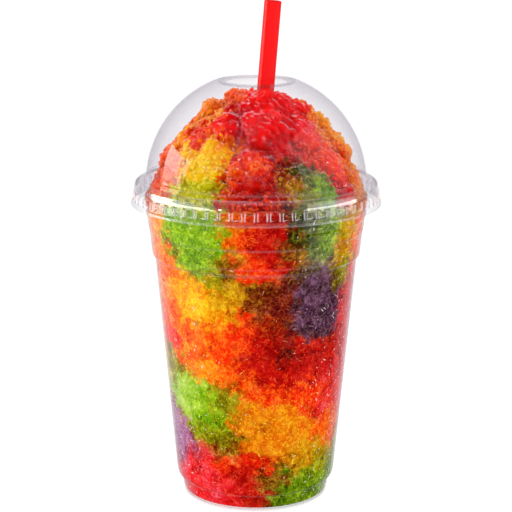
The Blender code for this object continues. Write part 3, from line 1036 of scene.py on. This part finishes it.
def wet_ice(name, glow, bump, cells_show, coat):
    """Ice soaked in syrup: the stored colour in cells, light passing under the surface, and a wet shine."""
    material, tree = new_material(name)
    flavour = add(tree, "Attribute", {}, attribute_name="flavour").outputs["Color"]
    place = add(tree, "TexCoord", {}).outputs["Object"]
    bent = add(tree, "TexNoise", {"Scale": 1 / (BEND_SIZE * MM), "Vector": place}).outputs
    moves = {0: bent["Color"], 1: (BEND * MM, BEND * MM, BEND * MM), 2: place}
    shifted = add(tree, "VectorMath", moves, operation="MULTIPLY_ADD").outputs[0]
    cells = {"Scale": 1 / (CELL * MM), "Vector": shifted}
    rims = add(tree, "TexVoronoi", cells, feature="DISTANCE_TO_EDGE").outputs["Distance"]
    insides = add(tree, "TexVoronoi", cells).outputs["Color"]
    clouds = {"Scale": 1 / (CLOUD_SIZE * MM), "Detail": 3, "Vector": place}
    clouds = add(tree, "TexNoise", clouds).outputs[0]

    deep = calc(tree, "ADD", product(tree, insides, 0.5 * cells_show), product(tree, clouds, 1.2))
    deep = calc(tree, "ADD", deep, 0.45 - 0.25 * cells_show)
    deeper = add(tree, "Gamma", {"Color": flavour, "Gamma": deep}).outputs[0]
    paler = add(tree, "Gamma", {"Color": flavour, "Gamma": PALER}).outputs[0]
    blue = add(tree, "SeparateColor", {0: flavour}).outputs["Blue"]
    warm = blended(tree, ranged(tree, blue, 0.012, 0.05, 1.0, 0.0), paler, WARM, "MULTIPLY")
    rim = ranged(tree, rims, 0.0, 0.2, 1.0, 0.0)
    broken = ranged(tree, bent[0], 0.42, 0.62, 0.0, 0.8 * cells_show)

    rough = {"Strength": bump, "Distance": 0.3 * MM, "Height": rims}
    looks = {
        "Base Color": blended(tree, product(tree, rim, broken), deeper, warm),
        "Subsurface Weight": glow,
        "Subsurface Scale": GLOW_DEPTH * MM,
        "Subsurface Radius": (1.0, 0.6, 0.4),
        "IOR": WATER,
        "Roughness": 0.12,
        "Specular IOR Level": 0.5 - 0.5 * coat,
        "Coat Weight": coat,
        "Coat Roughness": 0.03,
        "Coat IOR": 1.4,
        "Normal": add(tree, "Bump", rough).outputs["Normal"],
    }
    add(tree, "OutputMaterial", {"Surface": add(tree, "BsdfPrincipled", looks).outputs[0]})
    return material


dress(mound, wet_ice("soaked_mound", 0.35, 0.08, 0.4, 1.0))
dress(filling, wet_ice("soaked_filling", 0.3, 0.4, 1.0, 0.0))
dress(piles[0][0], wet_ice("grain_ice", 0.2, 0.1, 0.4, 0.5))
sliver_ice = wet_ice("sliver_ice", 0.0, 0.0, 0.0, 0.0)
for pile, _ in piles[1:]:
    dress(pile, sliver_ice)

# %% The straw's plastic
material, tree = new_material("straw_plastic")
looks = {"Base Color": (*linear(238, 3, 4), 1), "Roughness": 0.22, "IOR": 1.3}
add(tree, "OutputMaterial", {"Surface": add(tree, "BsdfPrincipled", looks).outputs[0]})
dress(straw, material)

# %% Each piece rides on the part's one body and stands for its solid
for obj, node, slot in (
    (cup, "cup", "cup_plastic"),
    (lid, "dome_lid", "lid_plastic"),
    (straw, "straw", "straw_plastic"),
    (mound, "slush", "coloured_ice"),
    (filling, "slush", "coloured_ice"),
):
    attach(obj, "root")
    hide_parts(node)
    print(obj.name, "stands for", node)
for pile, _ in piles:
    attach(pile, "root")

# %% [markdown]
# ## The studio
#
# The cup stands on a plain white floor that runs out of the picture. Clear plastic shows its surroundings, so
# those matter more than the lamps' strength: black in front, a bright softbox on the left, a taller and dimmer
# one on the right, grey beside, and nearly white behind, which is what the edges of the dome show. The world is
# therefore white to the camera, soft to the ice, and depends on the direction for reflections. Light linking
# keeps the lamps that make the ice sparkle out of the plastic. Three of them give the mound highlights and no
# soft light, and one gives it soft light and no highlight. The plastic doesn't mirror the mound.

# %% Floor
select_nothing()
bpy.ops.mesh.primitive_plane_add(size=12, location=(0, 0, 0))
floor = bpy.context.object
floor.name = "floor"
material, tree = new_material("floor_white")
matt = add(tree, "BsdfDiffuse", {"Color": (0.5, 0.5, 0.5, 1)}).outputs[0]
glow = add(tree, "Emission", {"Strength": 0.75}).outputs[0]
add(tree, "OutputMaterial", {"Surface": summed(tree, matt, glow)})
dress(floor, material)
floor.visible_glossy = False

# %% World
AMBIENT = 0.86
BLACK = (0.002, 0.002, 0.002)
BESIDE = (0.50, 0.48, 0.51)
BEHIND = (0.95, 0.92, 0.97)
world = bpy.data.worlds.new("studio")
bpy.context.scene.world = world
world.use_nodes = True
tree = world.node_tree
ray = add(tree, "LightPath", {}).outputs
heading = add(tree, "TexCoord", {}).outputs["Generated"]
backward = add(tree, "SeparateXYZ", {0: heading}).outputs["Y"]
walls = ramp(tree, backward, ((0.4, BLACK), (0.75, BESIDE), (0.95, BEHIND)))
seen = blended(tree, ray["Is Glossy Ray"], (AMBIENT, AMBIENT, AMBIENT, 1), walls)
shown = blended(tree, ray["Is Camera Ray"], seen, (1, 1, 1, 1))
tree.links.new(shown, tree.nodes["Background"].inputs["Color"])
print("the world has", len(tree.nodes), "nodes")


# %% Softboxes
def softbox(name, side, low, high, width, radiance, only_for=(), distance=0.7):
    """A rectangle of light that faces the dome. side, low, high and width are degrees."""
    aim = Vector((0, 0, DOME_CENTRE * MM))
    out = direction(side, (low + high) / 2)
    lamp = bpy.data.lights.new(name, "AREA")
    lamp.shape = "RECTANGLE"
    lamp.size = 2 * distance * math.tan(math.radians(width / 2))
    lamp.size_y = 2 * distance * math.tan(math.radians((high - low) / 2))
    lamp.energy = radiance * math.pi * lamp.size * lamp.size_y
    box = bpy.data.objects.new(name, lamp)
    bpy.context.scene.collection.objects.link(box)
    box.location = aim + out * distance
    box.rotation_euler = out.to_track_quat("Z", "Y").to_euler()
    box.visible_camera = False
    if only_for:
        receivers = bpy.data.collections.new(name + "_receivers")
        for obj in only_for:
            receivers.objects.link(obj)
        box.light_linking.receiver_collection = receivers
    print(name, "gives", round(lamp.energy, 2), "W")
    return box


ices = [mound, filling] + [pile for pile, _ in piles]
mound.visible_glossy = False
piles[0][0].visible_glossy = False
softbox("left_softbox", -99, 7, 20, 23, 4.8)
softbox("left_softbox_edge", -81, 7, 20, 13, 2.3)
softbox("left_softbox_foot", -96, -1, 7, 28, 3.2)
softbox("left_low", -93, -9, -1, 36, 1.6)
softbox("left_lower", -93, -17, -9, 36, 0.6)
softbox("left_table", -92, -34, -17, 86, 0.2)
softbox("right_softbox", 74, -27, 50, 56, 0.5, distance=0.6)
softbox("window", -31.5, -11, -2, 4, 9.0, [lid])
softbox("skirt_left", -74, -32, -3, 67, 4.0, [lid])
softbox("skirt_right", 75, -32, -3, 60, 3.4, [lid])
softbox("straw_fill", 0, -10, 60, 100, 0.35, [straw])
softbox("straw_strip", -64, -24, -4, 14, 2.2, [straw])
softbox("back_spark", 180, 46, 58, 24, 7.0, ices)
for number, (side, rise) in enumerate(((-22, 58), (28, 64), (-46, 44))):
    spark = softbox(f"sparkle_{number}", side, rise - 2.5, rise + 2.5, 8, 60.0, [mound])
    spark.visible_diffuse = False
fill = softbox("mound_fill", 0, 25, 65, 80, 0.45, [mound, piles[0][0]])
fill.visible_glossy = False
softbox("high_spark", -22, 54, 58, 8, 44.0, ices)
softbox("left_spark", -62, 22, 32, 10, 9.0, ices)
softbox("right_spark", 66, 22, 34, 8, 9.0, ices)

# %% Camera
FOCAL = 130.08
VIEW_DISTANCE = 0.7756
VIEW_DOWN = math.radians(13.34)
VIEW_ROLL = math.radians(0.17)
VIEW_HEIGHT = 0.1019
optics = bpy.data.cameras.new("camera")
optics.lens = FOCAL
optics.sensor_width = 36
optics.clip_start = 0.01
camera = bpy.data.objects.new("camera", optics)
bpy.context.scene.collection.objects.link(camera)
place = Vector((0, -math.cos(VIEW_DOWN), math.sin(VIEW_DOWN))) * VIEW_DISTANCE
place.z += VIEW_HEIGHT
tilt = Matrix.Rotation(math.pi / 2 - VIEW_DOWN, 4, "X")
camera.matrix_world = Matrix.Translation(place) @ tilt @ Matrix.Rotation(VIEW_ROLL, 4, "Z")
scene = bpy.context.scene
scene.camera = camera
scene.view_settings.view_transform = "Standard"
scene.cycles.transparent_max_bounces = 32
print("the camera stands at", [round(part, 3) for part in place])
